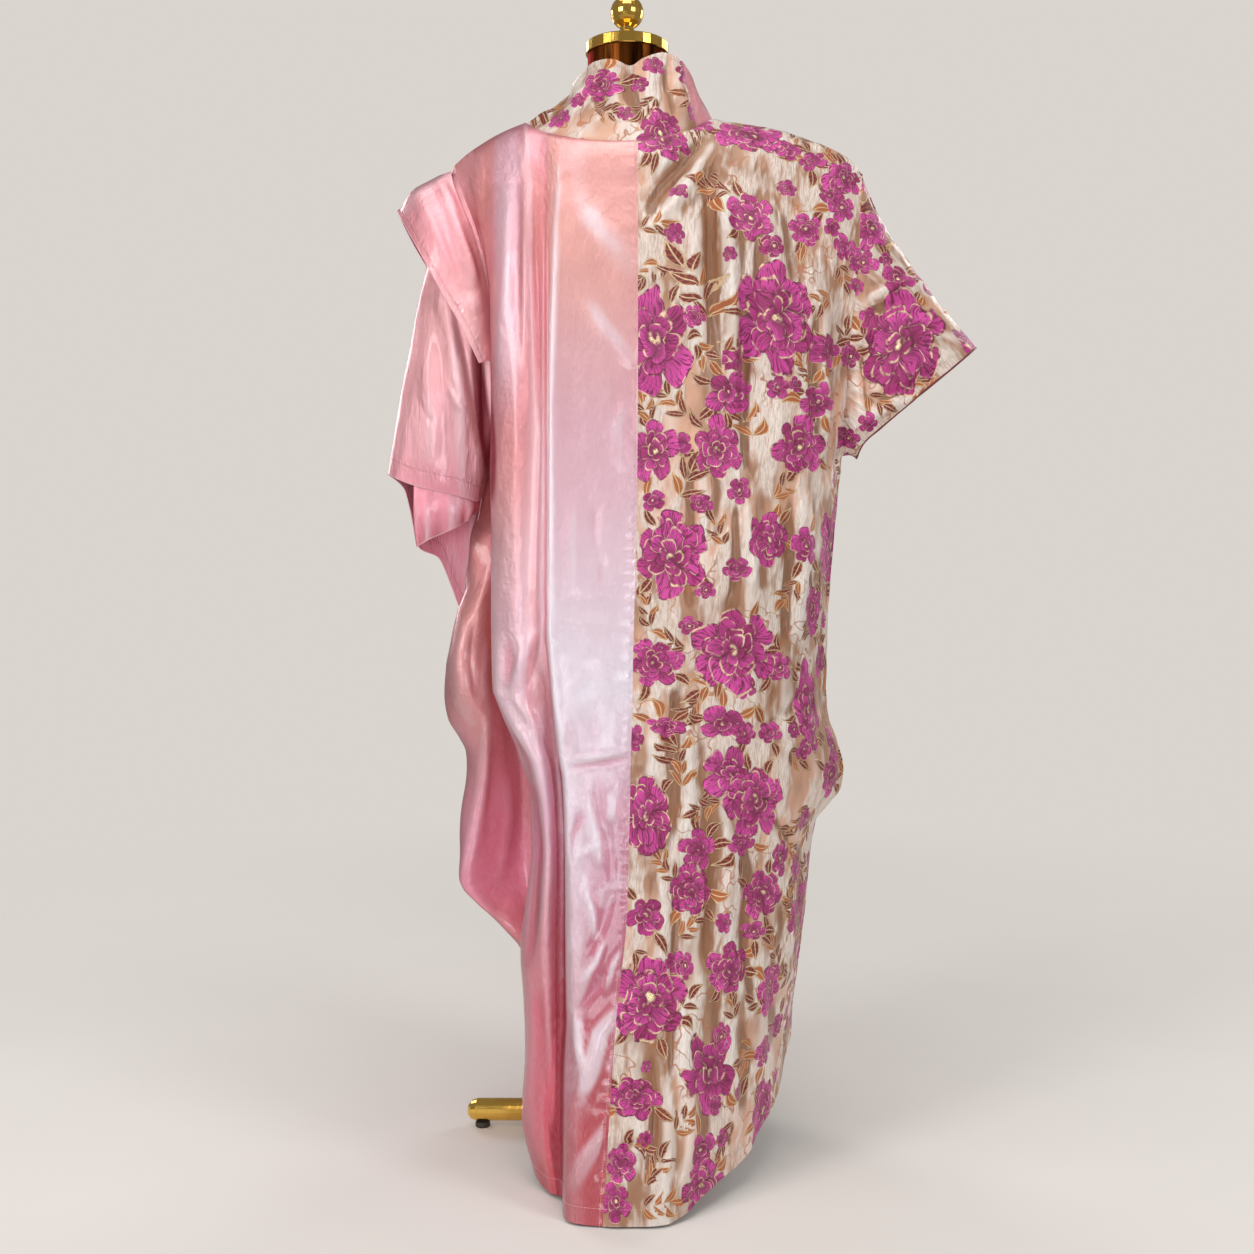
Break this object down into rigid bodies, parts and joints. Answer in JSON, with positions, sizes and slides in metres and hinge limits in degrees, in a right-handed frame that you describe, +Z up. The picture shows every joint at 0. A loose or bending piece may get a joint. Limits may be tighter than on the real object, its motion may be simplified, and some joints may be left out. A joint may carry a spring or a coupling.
{
  "type": "brocade dress on dress form",
  "caption": "Full-length loose dress, half pink satin and half floral brocade, hanging on a limbless dress form with a low metal base.",
  "frame": {"origin": "centre of the whole part's box in plan, at the floor", "axes": "the back of the dress, as pictured, faces -Y; the brocade half is at +X as seen from there; +Z is up"},
  "size_m": [0.8496, 0.5034, 1.6522],
  "materials": {
    "satin": "glossy pink satin",
    "brocade": "beige and ivory floral brocade with metallic yarn",
    "form": "dark brown covered torso",
    "gold": "polished gold-coloured metal",
    "foot": "dark rubber pad"
  },
  "bodies": {
    "root": {"back_satin": "satin", "side_satin": "satin", "front_satin": "satin", "back_brocade": "brocade", "front_brocade": "brocade", "left_sleeve": "satin", "left_cap": "satin", "right_sleeve": "brocade", "collar": "brocade", "collar_facing": "satin", "torso": "form", "neck": "form", "neck_cap": "gold", "finial_stem": "gold", "finial_ball": "gold", "pole": "gold", "hub": "gold", "leg_1": "gold", "leg_2": "gold", "leg_3": "gold", "foot_1": "foot", "foot_2": "foot", "foot_3": "foot"}
  },
  "joints": []
}
